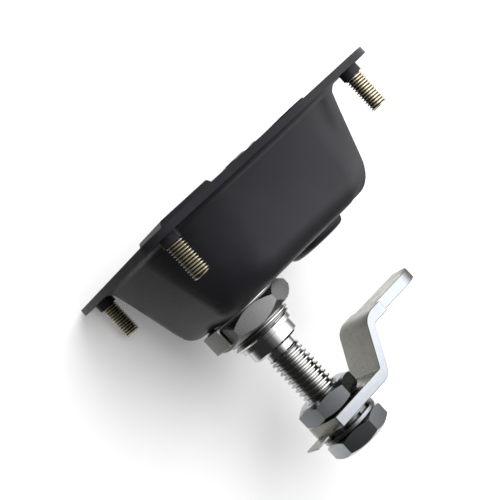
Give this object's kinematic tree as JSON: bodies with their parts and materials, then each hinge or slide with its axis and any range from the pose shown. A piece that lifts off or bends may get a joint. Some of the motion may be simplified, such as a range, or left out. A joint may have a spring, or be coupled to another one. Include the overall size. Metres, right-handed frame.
{
  "type": "latch",
  "caption": "Lift-and-turn compression latch for a toolbox lid: black square pan with studs, folding handle with key lock, threaded sleeve and spindle, offset cam",
  "frame": {"origin": "centre of the stud rectangle, on the rear face of the flange", "axes": "front of the latch faces -Y and the spindle runs along +Y; the cam and the handle's tail point along -X; Z is across the latch"},
  "size_m": [0.082, 0.0794, 0.082],
  "materials": {
    "powder_coat": "fine matte black powder coat",
    "nickel": "warm nickel plate",
    "bright_plate": "bright plated, turned",
    "nickel_nut": "satin plated steel",
    "zinc_plate": "clear zinc plate on sheet steel",
    "spring_steel": "oiled spring steel",
    "brass": "plain bearing brass"
  },
  "bodies": {
    "housing": {"tray": "powder_coat", "mounting_studs": "nickel", "sleeve": "bright_plate", "tab_plate": "zinc_plate", "big_nut": "nickel_nut"},
    "swivel": {"thrust_washer": "brass"},
    "drawbar": {"spindle": "bright_plate", "hinge_pin": "bright_plate", "draw_spring": "spring_steel", "spring_clip": "spring_steel", "jam_nut": "nickel_nut", "cam": "zinc_plate", "tab_washer": "zinc_plate", "star_washer": "spring_steel", "flat_washer": "zinc_plate", "end_nut": "nickel_nut"},
    "lever": {"handle": "powder_coat", "lock_barrel": "bright_plate", "lock_clip": "spring_steel"},
    "lock": {"key_plug": "bright_plate", "lock_tongue": "zinc_plate"}
  },
  "joints": [
    {"name": "spindle_turn", "type": "hinge", "parent": "housing", "child": "swivel", "pos_m": [0.0185, 0.0135, 0], "axis": [0, 1, 0], "range_deg": [0, 90]},
    {"name": "spindle_draw", "type": "slide", "parent": "swivel", "child": "drawbar", "axis": [0, 1, 0], "range_m": [0, 0.004], "deforming": ["draw_spring"]},
    {"name": "handle_lift", "type": "hinge", "parent": "drawbar", "child": "lever", "pos_m": [0.0185, 0.0025, 0], "axis": [0, 0, 1], "range_deg": [0, 90]},
    {"name": "key_turn", "type": "hinge", "parent": "lever", "child": "lock", "pos_m": [-0.0116, 0.01, 0], "axis": [0, 1, 0], "range_deg": [0, 90]}
  ],
  "couplings": [
    {"joint": "spindle_turn", "follows": "handle_lift", "ratio": 1},
    {"joint": "spindle_draw", "follows": "handle_lift", "m_per_rad": 0.002546}
  ]
}
